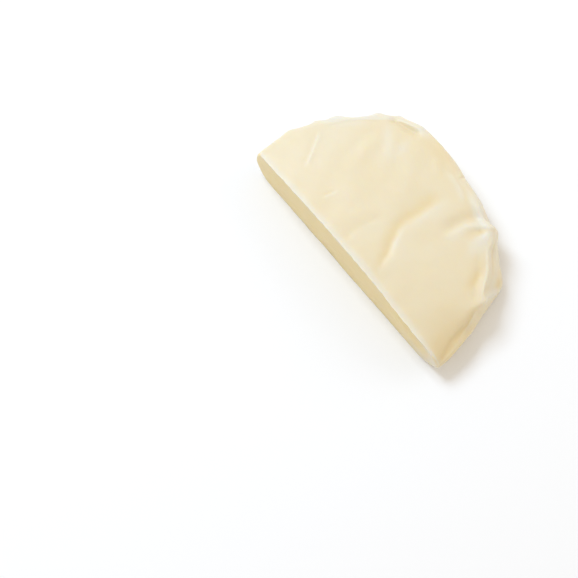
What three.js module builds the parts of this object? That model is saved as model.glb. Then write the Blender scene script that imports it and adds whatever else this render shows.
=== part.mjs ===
// Half of a small flat wheel of pale pressed cheese in a thin, wrinkled skin. The wheel is cut straight
// down just in front of its middle, and the half lies on its flat underside. One solid, in millimetres: the
// cut runs along X and faces -Y, the rounded rim is on the +Y side, and +Z is up. The origin is under the
// middle of its box.
import * as THREE from 'three';
import { mergeVertices } from 'three/addons/utils/BufferGeometryUtils.js';

// Driving dimensions. Plan places are measured from the wheel's centre, rim angles in degrees from +X.
const wheelCentre = { x: -0.4, y: -43.8 }; // where the wheel's centre stands in the part's frame
const wheelRadius = 101; // mean radius at the girth, the widest level of the rim
const cutBack = 10.4; // the cut passes this far in front of the wheel's centre
const crownHeight = 37.4; // the top above the table at its highest, folds apart
const crownPlace = { x: -5, y: 8 };
const crownReach = 95; // distance over which the top falls by rimDrop
const crownPower = 2.4;
const rimDrop = 7;
const cornerDroop = 3; // the right end of the cut sags by this much
const cornerPlace = { x: 100, y: -10 };
const cornerReach = 36;
const girthHeight = 9;
const edgeInset = 3.2; // the top's edge is this far inside the girth
const edgeRound = 3; // radius of the soft corner along the top's edge
const footInset = 8; // the underside's flat stops this far inside the girth
const tipRound = 2; // rounding of the two upright corners at the ends of the cut

// How fine the body is: columns from the right end of the cut to the left, and rows across each face.
const columns = 72;
const topRows = 36;
const wallRows = 12;
const baseRows = 3;
const stepsPerStretch = 12; // points of a crease's path between two of its marks
const rowCrowding = 0.35; // how strongly the top's rows crowd towards its borders
const levelCrowding = 0.75; // and the cut face's rows towards its top edge
const cutEnds = 0.1; // share of the cut's length over which its levels pass to those of its ends
const joinReach = 0.001; // points nearer to each other than this are one

// Rises and dips of the rim about one angle: angle and width in degrees, rise in millimetres.
const girthBumps = [
  { angle: -4, width: 8, rise: 4.2 },
  { angle: 10, width: 15, rise: -0.8 },
  { angle: 22, width: 7, rise: -1.8 },
  { angle: 39.5, width: 6, rise: 3.6 },
  { angle: 52, width: 9, rise: 0.4 },
  { angle: 77, width: 7, rise: 1.7 },
  { angle: 81, width: 17, rise: -4.6 },
  { angle: 118, width: 15, rise: 4.6 },
];
const insetBumps = [
  { angle: 4, width: 14, rise: 7 },
  { angle: 25, width: 4, rise: -2.4 },
  { angle: 41.5, width: 11, rise: 8.2 }, // the flattened, outward-leaning stretch of the rim
  { angle: 57.5, width: 3.5, rise: -0.5 },
  { angle: 65, width: 5, rise: 2.5 },
  { angle: 75, width: 11, rise: 4 },
  { angle: 123.5, width: 4, rise: -1.5 },
];
const wallLumps = [
  { angle: 4, width: 14, rise: -3 },
  { angle: 59, width: 3, rise: 3.5 },
  { angle: 124, width: 3, rise: 5.5 },
  { angle: 132, width: 3.4, rise: 7.5 },
  { angle: 148.5, width: 5, rise: 4.8 },
  { angle: 157.5, width: 2.6, rise: 3.8 },
  { angle: 168.5, width: 4.2, rise: 3.2 },
];
const edgeRoundBumps = [
  { angle: 4, width: 14, rise: 4 },
  { angle: 38, width: 16, rise: -1.8 },
  { angle: 92, width: 12, rise: 4 },
  { angle: 180, width: 14, rise: 5 },
];
const footBumps = [
  { angle: -4, width: 16, rise: 15 },
  { angle: 180, width: 24, rise: 9 },
];
const girthLifts = [
  { angle: 8, width: 15, rise: 8.5 },
  { angle: 180, width: 24, rise: 4 },
];
const girthShareBumps = [
  { angle: -5, width: 8, rise: 0.3 },
  { angle: 12, width: 12, rise: -0.3 },
];

// Creases of the skin on the top: each is a raised lip along a path, with a valley on the left of its
// direction. A crease widens or narrows by its spread towards the path's end.
const folds = [
  { // the long S-shaped crease from the cut towards the back
    path: [[32.2, -8], [29, 0.3], [26.6, 6.4], [24.6, 13.2], [20.9, 19], [18.3, 24.5], [15.5, 31],
      [15.3, 38.6], [16.4, 46.7], [16.6, 54], [16.3, 61.2], [15, 68], [12, 75]],
    depth: 0.72, lip: 0.25, gap: 4.2, valleyReach: 3.2, lipReach: 7, fadeIn: 22, fadeOut: 18, spread: 2,
    step: 0.8, stepReach: 20,
  },
  { // the faint crease beside it
    path: [[-0.5, -7.4], [-2.4, -1.4], [-3.2, 5.8], [-2, 13.6], [0.3, 22.5], [2.9, 32]],
    depth: 0.25, lip: 0.08, gap: 4.2, valleyReach: 4.5, lipReach: 12, fadeIn: 8, fadeOut: 16,
  },
  { // the crease that runs from the middle into the pinch at the rim
    path: [[36.8, 46], [37.4, 53.5], [38.6, 62.5], [41.2, 70.8], [45.2, 77.2], [50.4, 80.2]],
    depth: 1.9, lip: 0.7, gap: 5.6, valleyReach: 4.3, lipReach: 4, fadeIn: 15, fadeOut: 4, spread: 1.3,
  },
  { // the short crease below the pinch
    path: [[55.5, 54], [54.4, 60.5], [53.4, 67], [52.4, 73.5], [51, 80]],
    depth: 1.3, lip: 0.9, gap: 18, valleyReach: 9, lipReach: 9, fadeIn: 20, fadeOut: 7, spread: 0.15,
  },
  { // the raised edge of the rim beyond the pinch
    path: [[51.5, 80.5], [44.5, 80.3], [38.5, 81.2], [31, 83.2], [24, 85], [17, 86.5]],
    depth: 0.4, lip: 1.3, gap: 5, valleyReach: 4, lipReach: 2.5, fadeIn: 2, fadeOut: 18,
  },
  { // the crease along the flattened stretch of the rim
    path: [[91, 36], [87, 42], [80, 49.5], [72, 58], [63.5, 66.5], [56, 73.5]],
    depth: 1.2, lip: 0.2, gap: 7, valleyReach: 3.4, lipReach: 3, fadeIn: 10, fadeOut: 34,
  },
  { // the trough just inside the back of the rim
    path: [[-34, 92.5], [-42.5, 90.5], [-49.2, 88.8], [-54.6, 87.5], [-60, 85.5], [-65, 81.5]],
    depth: 2.5, lip: 0.7, gap: 4.6, valleyReach: 3.6, lipReach: 4, fadeIn: 8, fadeOut: 9,
  },
  { // the fine crease of the left end
    path: [[-65.7, 7], [-69.7, 14.5], [-73.7, 21], [-78.2, 28], [-83.2, 35.5]],
    depth: 0.15, lip: 0.35, gap: 2.4, valleyReach: 3, lipReach: 2, fadeIn: 8, fadeOut: 8,
  },
];
const valleyInner = 0.6; // a valley's near side, as a share of its gap from the lip
const lipInner = 0.5; // a lip's valley side, as a share of the gap
const stepStart = 0.3; // where the step beyond a lip starts, as a share of the gap

// Soft oval swellings and dips of the top.
const swells = [
  { x: -50, y: 50, halfLength: 13, halfWidth: 4.5, turn: 106, rise: 0.7 },
  { x: -58.5, y: 52, halfLength: 14, halfWidth: 4, turn: 92, rise: -0.4 },
  { x: -38.5, y: 62, halfLength: 14, halfWidth: 4.5, turn: 125, rise: 0.7 },
  { x: -13, y: 59, halfLength: 19, halfWidth: 6, turn: 130, rise: 0.55 },
  { x: -9.5, y: 81.5, halfLength: 6.5, halfWidth: 3.5, turn: 150, rise: 0.6 },
  { x: 50.5, y: 79, halfLength: 5, halfWidth: 3, turn: 58, rise: 0.9 },
  { x: 71.4, y: 47.5, halfLength: 12, halfWidth: 3.6, turn: 103, rise: -0.5 },
  { x: 99, y: 4, halfLength: 24, halfWidth: 12.5, turn: 98, rise: -4.6 }, // the sagging right shoulder
];

// Relief of the rim, placed in millimetres round the rim and up it, with heights outwards.
const rimFolds = [
  { // the fold down from the near corner of the flattened stretch
    path: [[42, 32], [48, 27], [55, 20.5], [61.5, 14], [66, 8]],
    depth: 0.5, lip: 1.1, gap: 5, valleyReach: 3, lipReach: 2.6, fadeIn: 6, fadeOut: 6,
  },
];
const rimSwells = [
  { x: 86, y: 25.5, halfLength: 19, halfWidth: 1.7, turn: 0, rise: -0.9 }, // a hollow along the flat
  { x: 86, y: 21, halfLength: 18, halfWidth: 1.8, turn: 0, rise: 0.4 },
];
const calmTop = 0.25; // the rim's relief fades in over this share of its rows from the top
const calmFoot = 0.2;
const calmEnds = 0.04; // and over this share of the way round from each end of the cut

// Relief of the cut face: the skin's edge stands proud along the top, more so on the right half, where a
// groove runs under it.
const lipOut = 0.55;
const lipMore = 0.8;
const lipDeep = 1.6;
const grooveIn = 0.9;
const grooveBelow = 3.6;
const grooveHalf = 1.3;
const grooveRight = { x: 92, fade: 10 };
const grooveLeft = { x: 38, fade: 14 };

// Shape of the rim's upright section.
const edgeSlopeLimits = [-0.5, 0.15]; // of the top where it meets the rim
const slopeStep = 0.5; // distance over which that slope is measured
const wallBulge = 0.6;
const midLevel = 0.45; // level of the section's middle mark, as a share of the way from the edge to the girth
const girthBulge = 0.5;
const girthShare = 0.5; // how far from the girth the curves above and below it meet it
const lumpAtGirth = 0.1;
const footTurn = 0.15;
const footTurnGrowth = 0.04;
const cornerLimit = 0.8; // the soft corner takes at most this share of the way to the middle mark
const sectionShares = [0.26, 0.3, 0.24, 0.2]; // of the wall's rows, for its four curved stretches

const tipY = tipRound - cutBack;
const startAngle = Math.asin(tipY / edgeRadius(0));
const creases = folds.map(withLine);
const rimCreases = rimFolds.map(withLine);
const rightSection = rimSection(startAngle);
const leftSection = rimSection(Math.PI - startAngle);
const rightTip = rimColumn(0);
const leftTip = rimColumn(1);

// Smooth step from 0 to 1 as t goes from 0 to 1.
function ramp(t) {
  const u = THREE.MathUtils.clamp(t, 0, 1);
  return u * u * (3 - 2 * u);
}

// A rounded hill of height 1 that falls away over the given reach.
function hill(distance, reach) {
  return Math.exp(-((distance / reach) ** 2));
}

// Sum of a list of bumps at an angle in degrees.
function bumpsAt(bumps, degrees) {
  return bumps.reduce((sum, bump) => sum + bump.rise * hill(degrees - bump.angle, bump.width), 0);
}

function girthRadius(degrees) {
  return wheelRadius + bumpsAt(girthBumps, degrees);
}

function edgeRadius(degrees) {
  return girthRadius(degrees) - edgeInset - bumpsAt(insetBumps, degrees);
}

// A smooth line through the marks of a path, with the length reached at each of its points.
function pathLine(path) {
  const marks = path.map(([x, y]) => new THREE.Vector3(x, y, 0));
  const curve = new THREE.CatmullRomCurve3(marks, false, 'catmullrom');
  const points = curve.getPoints(stepsPerStretch * (path.length - 1));
  const reached = [0];
  for (let k = 1; k < points.length; k++) {
    reached.push(reached[k - 1] + points[k].distanceTo(points[k - 1]));
  }
  return { points, reached, length: reached[reached.length - 1] };
}

function withLine(fold) {
  return { ...fold, line: pathLine(fold.path) };
}

// Distance from a line, positive on its left, and the length along it to the nearest point.
function nearestOnLine(line, x, y) {
  let nearest = { away: Infinity, left: 0, along: 0 };
  for (let k = 1; k < line.points.length; k++) {
    const from = line.points[k - 1];
    const step = { x: line.points[k].x - from.x, y: line.points[k].y - from.y };
    const size = Math.hypot(step.x, step.y);
    const ahead = (x - from.x) * step.x + (y - from.y) * step.y;
    const share = THREE.MathUtils.clamp(ahead / size ** 2, 0, 1);
    const away = Math.hypot(x - from.x - share * step.x, y - from.y - share * step.y);
    if (away < nearest.away) {
      const side = step.x * (y - from.y) - step.y * (x - from.x) < 0 ? -1 : 1;
      nearest = { away, left: side * away, along: line.reached[k - 1] + share * size };
    }
  }
  return nearest;
}

// Height that one crease adds to the skin.
function foldHeight(fold, x, y) {
  const nearest = nearestOnLine(fold.line, x, y);
  const along = nearest.along / fold.line.length;
  const left = nearest.left / (fold.spread ? THREE.MathUtils.lerp(1, fold.spread, along) : 1);
  const fade = ramp(nearest.along / fold.fadeIn) * ramp((fold.line.length - nearest.along) / fold.fadeOut);
  const beyond = left - fold.gap;
  const valley = hill(beyond, beyond < 0 ? valleyInner * fold.gap : fold.valleyReach);
  const lip = hill(left, left > 0 ? lipInner * fold.gap : fold.lipReach);
  const relief = fade * (fold.lip * lip - fold.depth * valley);
  return fold.step ? relief + fold.step * ramp((left - stepStart * fold.gap) / fold.stepReach) : relief;
}

// Height that one oval swelling adds to the skin.
function swellHeight(swell, x, y) {
  const turn = THREE.MathUtils.degToRad(swell.turn);
  const along = (x - swell.x) * Math.cos(turn) + (y - swell.y) * Math.sin(turn);
  const across = (y - swell.y) * Math.cos(turn) - (x - swell.x) * Math.sin(turn);
  return swell.rise * hill(along, swell.halfLength) * hill(across, swell.halfWidth);
}

// Height of the top above the table: a shallow crown, sagging at the right corner, with its creases and
// swellings.
function topHeight(x, y) {
  const away = Math.hypot(x - crownPlace.x, y - crownPlace.y);
  const crown = crownHeight - rimDrop * (away / crownReach) ** crownPower;
  const fromCorner = Math.hypot(x - cornerPlace.x, y - cornerPlace.y);
  const plain = crown - cornerDroop * hill(fromCorner, cornerReach);
  const creased = creases.reduce((sum, fold) => sum + foldHeight(fold, x, y), plain);
  return swells.reduce((sum, swell) => sum + swellHeight(swell, x, y), creased);
}

// How far the rim's folds stand out at a place round the rim and up it.
function rimRelief(around, height) {
  const creased = rimCreases.reduce((sum, fold) => sum + foldHeight(fold, around, height), 0);
  return rimSwells.reduce((sum, swell) => sum + swellHeight(swell, around, height), creased);
}

// The rim's upright section at one angle, as radius and height from the top's border down to the underside:
// a soft corner, a leaning wall, the girth and a wide round under it, each a curve between marks.
function rimSection(angle) {
  const degrees = THREE.MathUtils.radToDeg(angle);
  const edge = edgeRadius(degrees);
  const girth = girthRadius(degrees);
  const soft = edgeRound + bumpsAt(edgeRoundBumps, degrees);
  const lump = bumpsAt(wallLumps, degrees);
  const extraFoot = bumpsAt(footBumps, degrees);
  const foot = girth - footInset - extraFoot;
  const girthLevel = girthHeight + bumpsAt(girthLifts, degrees);
  const heightAt = (radius) => topHeight(radius * Math.cos(angle), radius * Math.sin(angle));
  const border = new THREE.Vector2(edge - soft, heightAt(edge - soft));
  const slope = (heightAt(border.x + slopeStep) - border.y) / slopeStep;
  const corner = new THREE.Vector2(edge, border.y + soft * THREE.MathUtils.clamp(slope, ...edgeSlopeLimits));
  const midHeight = THREE.MathUtils.lerp(corner.y, girthLevel, midLevel);
  const mid = new THREE.Vector2((edge + girth) / 2 + lump + wallBulge, midHeight);
  const low = new THREE.Vector2(girth + girthBulge + lumpAtGirth * lump, girthLevel);
  const turn = new THREE.Vector2(girth - (footTurn + footTurnGrowth * extraFoot) * (girth - foot), 0);
  const reach = corner.distanceTo(mid);
  const under = corner.clone().lerp(mid, Math.min(soft, cornerLimit * reach) / reach);
  const share = girthShare + bumpsAt(girthShareBumps, degrees);
  const shoulder = low.clone().lerp(mid, share);
  const waist = low.clone().lerp(turn, share);
  const stretches = [
    [border, corner, under],
    [under, mid, shoulder],
    [shoulder, low, waist],
    [waist, turn, new THREE.Vector2(foot, 0)],
  ];
  const counts = sectionShares.map((share) => Math.max(1, Math.round(share * wallRows)));
  counts[1] += wallRows - counts.reduce((sum, count) => sum + count);
  const points = stretches.flatMap((marks, k) => {
    const curve = new THREE.QuadraticBezierCurve(...marks);
    return curve.getPoints(counts[k]).slice(1);
  });
  return [border, ...points];
}

// The rim from the top's border to the underside at one share of the way round, right end 0, left end 1. The
// rows of both ends are drawn round until they lie on the cut.
function rimColumn(share) {
  const section = rimSection(THREE.MathUtils.lerp(startAngle, Math.PI - startAngle, share));
  const inland = ramp(Math.min(share, 1 - share) / calmEnds);
  const plan = section.map((point, row) => {
    const right = Math.asin(tipY / rightSection[row].x);
    const left = Math.PI - Math.asin(tipY / leftSection[row].x);
    const angle = THREE.MathUtils.lerp(right, left, share);
    const level = row / wallRows;
    const calm = inland * ramp(level / calmTop) * ramp((1 - level) / calmFoot);
    const radius = point.x + calm * rimRelief(wheelRadius * angle, point.y);
    return new THREE.Vector2(radius * Math.cos(angle), radius * Math.sin(angle));
  });
  const scale = topHeight(plan[0].x, plan[0].y) / section[0].y;
  return plan.map((place, row) => new THREE.Vector3(place.x, place.y, scale * section[row].y));
}

// How far the cut face stands back at a depth below its top edge.
function cutRelief(x, below) {
  const reach = ramp((x - grooveLeft.x) / grooveLeft.fade) * ramp((grooveRight.x - x) / grooveRight.fade);
  const lip = (lipOut + lipMore * reach) * hill(below, lipDeep);
  return grooveIn * reach * hill(below - grooveBelow, grooveHalf) - lip;
}

// The cut face from its top edge down to the underside, at one share of the way from the right end to the
// left. Its rows crowd towards the top edge, and at both ends they fall in with the rim's rows.
function cutColumn(share) {
  const middle = ramp(Math.min(share, 1 - share) / cutEnds);
  let edgeHeight = 0;
  return rightTip.map((right, row) => {
    const left = leftTip[row];
    const x = THREE.MathUtils.lerp(right.x, left.x, share);
    const inset = THREE.MathUtils.clamp(Math.min(right.x - x, x - left.x) / tipRound, 0, 1);
    const y = tipRound * (1 - Math.sqrt(1 - (1 - inset) ** 2)) - cutBack;
    if (row === 0) {
      edgeHeight = topHeight(x, y);
    }
    const level = row / wallRows;
    const plainShare = 1 - THREE.MathUtils.lerp(level, level ** 3, levelCrowding);
    const tipShare = THREE.MathUtils.lerp(right.z / rightTip[0].z, left.z / leftTip[0].z, share);
    const z = edgeHeight * THREE.MathUtils.lerp(tipShare, plainShare, middle);
    return new THREE.Vector3(x, y + middle * cutRelief(x, edgeHeight - z), z);
  });
}

// One closed loop of points round the body: up the cut face, over the top, down the rim and back under.
function loopColumn(share) {
  const rim = rimColumn(share);
  const cut = cutColumn(share);
  const loop = [...cut].reverse();
  for (let row = 1; row < topRows; row++) {
    const t = row / topRows;
    const spread = t - (rowCrowding * Math.sin(2 * Math.PI * t)) / (2 * Math.PI);
    const x = THREE.MathUtils.lerp(cut[0].x, rim[0].x, spread);
    const y = THREE.MathUtils.lerp(cut[0].y, rim[0].y, spread);
    loop.push(new THREE.Vector3(x, y, topHeight(x, y)));
  }
  loop.push(...rim);
  for (let row = 1; row < baseRows; row++) {
    loop.push(rim[wallRows].clone().lerp(cut[wallRows], row / baseRows));
  }
  return loop;
}

// Closed skin over all the loops, which stand closer towards both ends, halfway between even and cosine
// spacing. Each end's loop folds flat onto the upright corner, where its points are joined.
function halfWheelGeometry() {
  const loops = [];
  for (let column = 0; column <= columns; column++) {
    const s = column / columns;
    loops.push(loopColumn((s + (1 - Math.cos(Math.PI * s)) / 2) / 2));
  }
  const rows = loops[0].length;
  const faces = [];
  for (let column = 0; column < columns; column++) {
    for (let row = 0; row < rows; row++) {
      const a = column * rows + row;
      const b = column * rows + ((row + 1) % rows);
      faces.push([a, b, a + rows], [b, b + rows, a + rows]);
    }
  }
  const positions = loops.flat().flatMap((point) => point.toArray());
  const geometry = new THREE.BufferGeometry();
  geometry.setAttribute('position', new THREE.Float32BufferAttribute(positions, 3));
  geometry.setIndex(faces.flat());
  const joined = mergeVertices(geometry, joinReach);
  const corners = joined.getIndex().array;
  const kept = [];
  for (let k = 0; k < corners.length; k += 3) {
    const [a, b, c] = [corners[k], corners[k + 1], corners[k + 2]];
    if (a !== b && b !== c && c !== a) {
      kept.push(a, b, c);
    }
  }
  joined.setIndex(kept);
  joined.computeVertexNormals();
  return joined;
}

const paleCheese = new THREE.MeshStandardMaterial({ color: 0xefe1c1, roughness: 0.45, metalness: 0 });
const halfWheel = new THREE.Mesh(halfWheelGeometry(), paleCheese);
halfWheel.name = 'half_wheel';
halfWheel.position.set(wheelCentre.x, wheelCentre.y, 0);

const group = new THREE.Group();
group.name = 'cheese';
group.add(halfWheel);

export default group;
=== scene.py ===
"""Half of a small flat cheese wheel in a thin wrinkled skin, on a pale floor in soft studio light.

The body is one surface worked out from named sizes. Plan places are in millimetres from the wheel's
centre, rim angles in degrees from +X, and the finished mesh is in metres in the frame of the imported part.
"""
from __future__ import annotations

import logging
import math
from dataclasses import dataclass
from enum import Enum

import bpy
import numpy as np
from mathutils import Euler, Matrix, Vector


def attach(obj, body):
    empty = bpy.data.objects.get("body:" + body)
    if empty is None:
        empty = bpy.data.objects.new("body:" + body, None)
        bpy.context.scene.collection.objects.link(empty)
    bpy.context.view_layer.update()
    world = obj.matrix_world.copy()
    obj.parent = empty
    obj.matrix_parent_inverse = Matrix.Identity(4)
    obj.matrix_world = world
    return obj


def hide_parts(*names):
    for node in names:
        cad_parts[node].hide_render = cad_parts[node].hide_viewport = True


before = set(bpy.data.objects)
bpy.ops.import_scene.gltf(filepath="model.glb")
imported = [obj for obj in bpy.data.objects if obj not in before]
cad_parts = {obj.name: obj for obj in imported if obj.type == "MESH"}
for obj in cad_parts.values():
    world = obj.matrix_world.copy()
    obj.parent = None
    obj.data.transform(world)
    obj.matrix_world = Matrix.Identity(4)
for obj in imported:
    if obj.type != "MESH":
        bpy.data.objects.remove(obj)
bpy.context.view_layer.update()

LOG = logging.getLogger("half_wheel")
MILLIMETRE = 0.001
Array = np.ndarray

# Numbers of the Mix node's colour sockets, because their names repeat.
MIX_FIRST, MIX_SECOND, MIX_RESULT = 6, 7, 2


class Zone(Enum):
    """The faces of the half wheel that differ in finish."""

    SKIN = 0.0
    PASTE = 1.0


def ramp(t: Array) -> Array:
    """Smooth step from 0 to 1 as t goes from 0 to 1: three t squared less two t cubed."""
    u = np.clip(t, 0.0, 1.0)
    return u * u * (3.0 - 2.0 * u)


def hill(distance: Array, reach: float | Array) -> Array:
    """A rounded hill of height 1: e to the minus square of distance over reach."""
    return np.exp(-((distance / reach) ** 2))


def smooth_line(marks: Array, steps: int) -> Array:
    """Curve through every mark (Catmull-Rom): a cubic in each stretch, with its ends along the neighbours.

    Args:
        marks: plan points, one per row.
        steps: points per stretch.

    Returns:
        The curve's points, one per row.
    """
    padded = np.vstack([2.0 * marks[0] - marks[1], marks, 2.0 * marks[-1] - marks[-2]])
    t = np.linspace(0.0, 1.0, steps, endpoint=False)[None, :, None]
    a, b, c, d = (padded[k:k + len(marks) - 1, None, :] for k in range(4))
    square = 2.0 * a - 5.0 * b + 4.0 * c - d
    cube = 3.0 * b - a - 3.0 * c + d
    curve = 0.5 * (2.0 * b + (c - a) * t + square * t ** 2 + cube * t ** 3)
    return np.vstack([curve.reshape(-1, 2), marks[-1]])


def distance_from_line(line: Array, x: Array, y: Array) -> tuple[Array, Array, float]:
    """Distance of plan points from a line, positive on its left.

    Args:
        line: the line's points, one per row.
        x: plan x of the points.
        y: plan y of the points.

    Returns:
        The signed distance, the length along the line to the nearest point, and the line's whole length.
    """
    start, step = line[:-1], np.diff(line, axis=0)
    size = np.hypot(step[:, 0], step[:, 1])
    reached = np.concatenate([[0.0], np.cumsum(size)])
    dx, dy = x[..., None] - start[:, 0], y[..., None] - start[:, 1]
    share = np.clip((dx * step[:, 0] + dy * step[:, 1]) / size ** 2, 0.0, 1.0)
    away = np.hypot(dx - share * step[:, 0], dy - share * step[:, 1])
    nearest = np.argmin(away, axis=-1)[..., None]
    turn = step[:, 0] * dy - step[:, 1] * dx
    side = np.where(np.take_along_axis(turn, nearest, -1) < 0.0, -1.0, 1.0)
    left = (side * np.take_along_axis(away, nearest, -1))[..., 0]
    along = (reached[nearest] + np.take_along_axis(share, nearest, -1) * size[nearest])[..., 0]
    return left, along, float(reached[-1])


@dataclass(frozen=True)
class Bump:
    """A rise of the rim about one angle: a rounded hill, in degrees round it and millimetres high."""

    angle: float
    width: float
    rise: float


def bumps_at(bumps: tuple[Bump, ...], degrees: Array) -> Array:
    """Sum of the bumps' hills at each angle."""
    return sum(bump.rise * hill(degrees - bump.angle, bump.width) for bump in bumps)


@dataclass(frozen=True)
class Crease:
    """A crease of the skin: a raised lip along a path, with a valley on the left of its direction.

    The valley and the lip are rounded hills across the path that fade in and out along it. They widen by
    the spread towards the path's end, or narrow where it is under 1, and a crease with a step leaves the
    skin on its left higher. Sizes are in millimetres.
    """

    path: tuple[tuple[float, float], ...]
    depth: float  # of the valley
    lip: float  # height of the lip, or below zero the depth of a groove in its place
    gap: float  # between the lip and the middle of the valley
    valley_reach: float  # of the valley's far side
    lip_reach: float  # of the lip's outer side
    fade_in: float
    fade_out: float
    spread: float = 1.0
    step: float = 0.0
    step_reach: float = 1.0
    valley_inner: float = 0.6  # the valley's near side, as a share of the gap
    lip_inner: float = 0.5  # the lip's valley side, as a share of the gap
    step_start: float = 0.3  # where the step starts, as a share of the gap
    points_per_stretch: int = 12
    # paler lips and deeper valleys are partly the skin's own film and fat, partly painted highlight on the
    # lips and painted shade in the valleys
    lip_pale_and_highlight: float = 0.8  # how much paler the skin is for each millimetre of lip
    valley_deep_and_shade: float = 0.4  # how much deeper it is for each millimetre of valley

    def parts(self, x: Array, y: Array) -> tuple[Array, Array, Array]:
        """Heights of the lip, the valley and the step at plan points."""
        line = smooth_line(np.array(self.path), self.points_per_stretch)
        left, along, length = distance_from_line(line, x, y)
        fade = ramp(along / self.fade_in) * ramp((length - along) / self.fade_out)
        left = left / (1.0 + (self.spread - 1.0) * along / length)
        beyond = left - self.gap
        valley = hill(beyond, np.where(beyond < 0.0, self.valley_inner * self.gap, self.valley_reach))
        lip = hill(left, np.where(left > 0.0, self.lip_inner * self.gap, self.lip_reach))
        step = self.step * ramp((left - self.step_start * self.gap) / self.step_reach)
        return fade * self.lip * lip, -fade * self.depth * valley, step

    def height(self, x: Array, y: Array) -> Array:
        """Height that the crease adds to the top at plan points."""
        return sum(self.parts(x, y))

    def tone(self, x: Array, y: Array) -> Array:
        """Change of tone at plan points: paler over the lip and deeper in the valley, partly painted
        highlight and painted shade.
        """
        lip, valley, _ = self.parts(x, y)
        return -self.lip_pale_and_highlight * lip - self.valley_deep_and_shade * valley


@dataclass(frozen=True)
class Oval:
    """A soft oval: a rounded hill along and across, turned by some degrees.

    Its rise is a height in millimetres where it shapes the skin, and a change of tone where it tints it.
    """

    x: float
    y: float
    half_length: float
    half_width: float
    turn: float
    rise: float

    def height(self, x: Array, y: Array) -> Array:
        """The oval's rise at plan points."""
        c, s = math.cos(math.radians(self.turn)), math.sin(math.radians(self.turn))
        along = (x - self.x) * c + (y - self.y) * s
        across = (y - self.y) * c - (x - self.x) * s
        return self.rise * hill(along, self.half_length) * hill(across, self.half_width)


@dataclass(frozen=True)
class Unevenness:
    """Soft uneven relief: a sum of seeded plane waves whose lengths lie about one wavelength.

    The sum is scaled so that its root mean square is the height.
    """

    wavelength: float
    height: float
    seed: int
    stretch: float = 1.0
    waves: int = 16
    shortest: float = 0.7  # shortest and longest wave, as shares of the wavelength
    longest: float = 1.7

    def at(self, u: Array, v: Array) -> Array:
        """Relief at surface places u, v in millimetres, with v's features stretched by the given factor."""
        draw = np.random.default_rng(self.seed)
        turn = draw.uniform(0.0, 2.0 * math.pi, self.waves)
        pitch = 2.0 * math.pi / (self.wavelength * draw.uniform(self.shortest, self.longest, self.waves))
        start = draw.uniform(0.0, 2.0 * math.pi, self.waves)
        phase = pitch * (np.cos(turn) * u[..., None] + np.sin(turn) * v[..., None] / self.stretch) + start
        return self.height * np.sin(phase).sum(-1) / math.sqrt(0.5 * self.waves)


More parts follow.
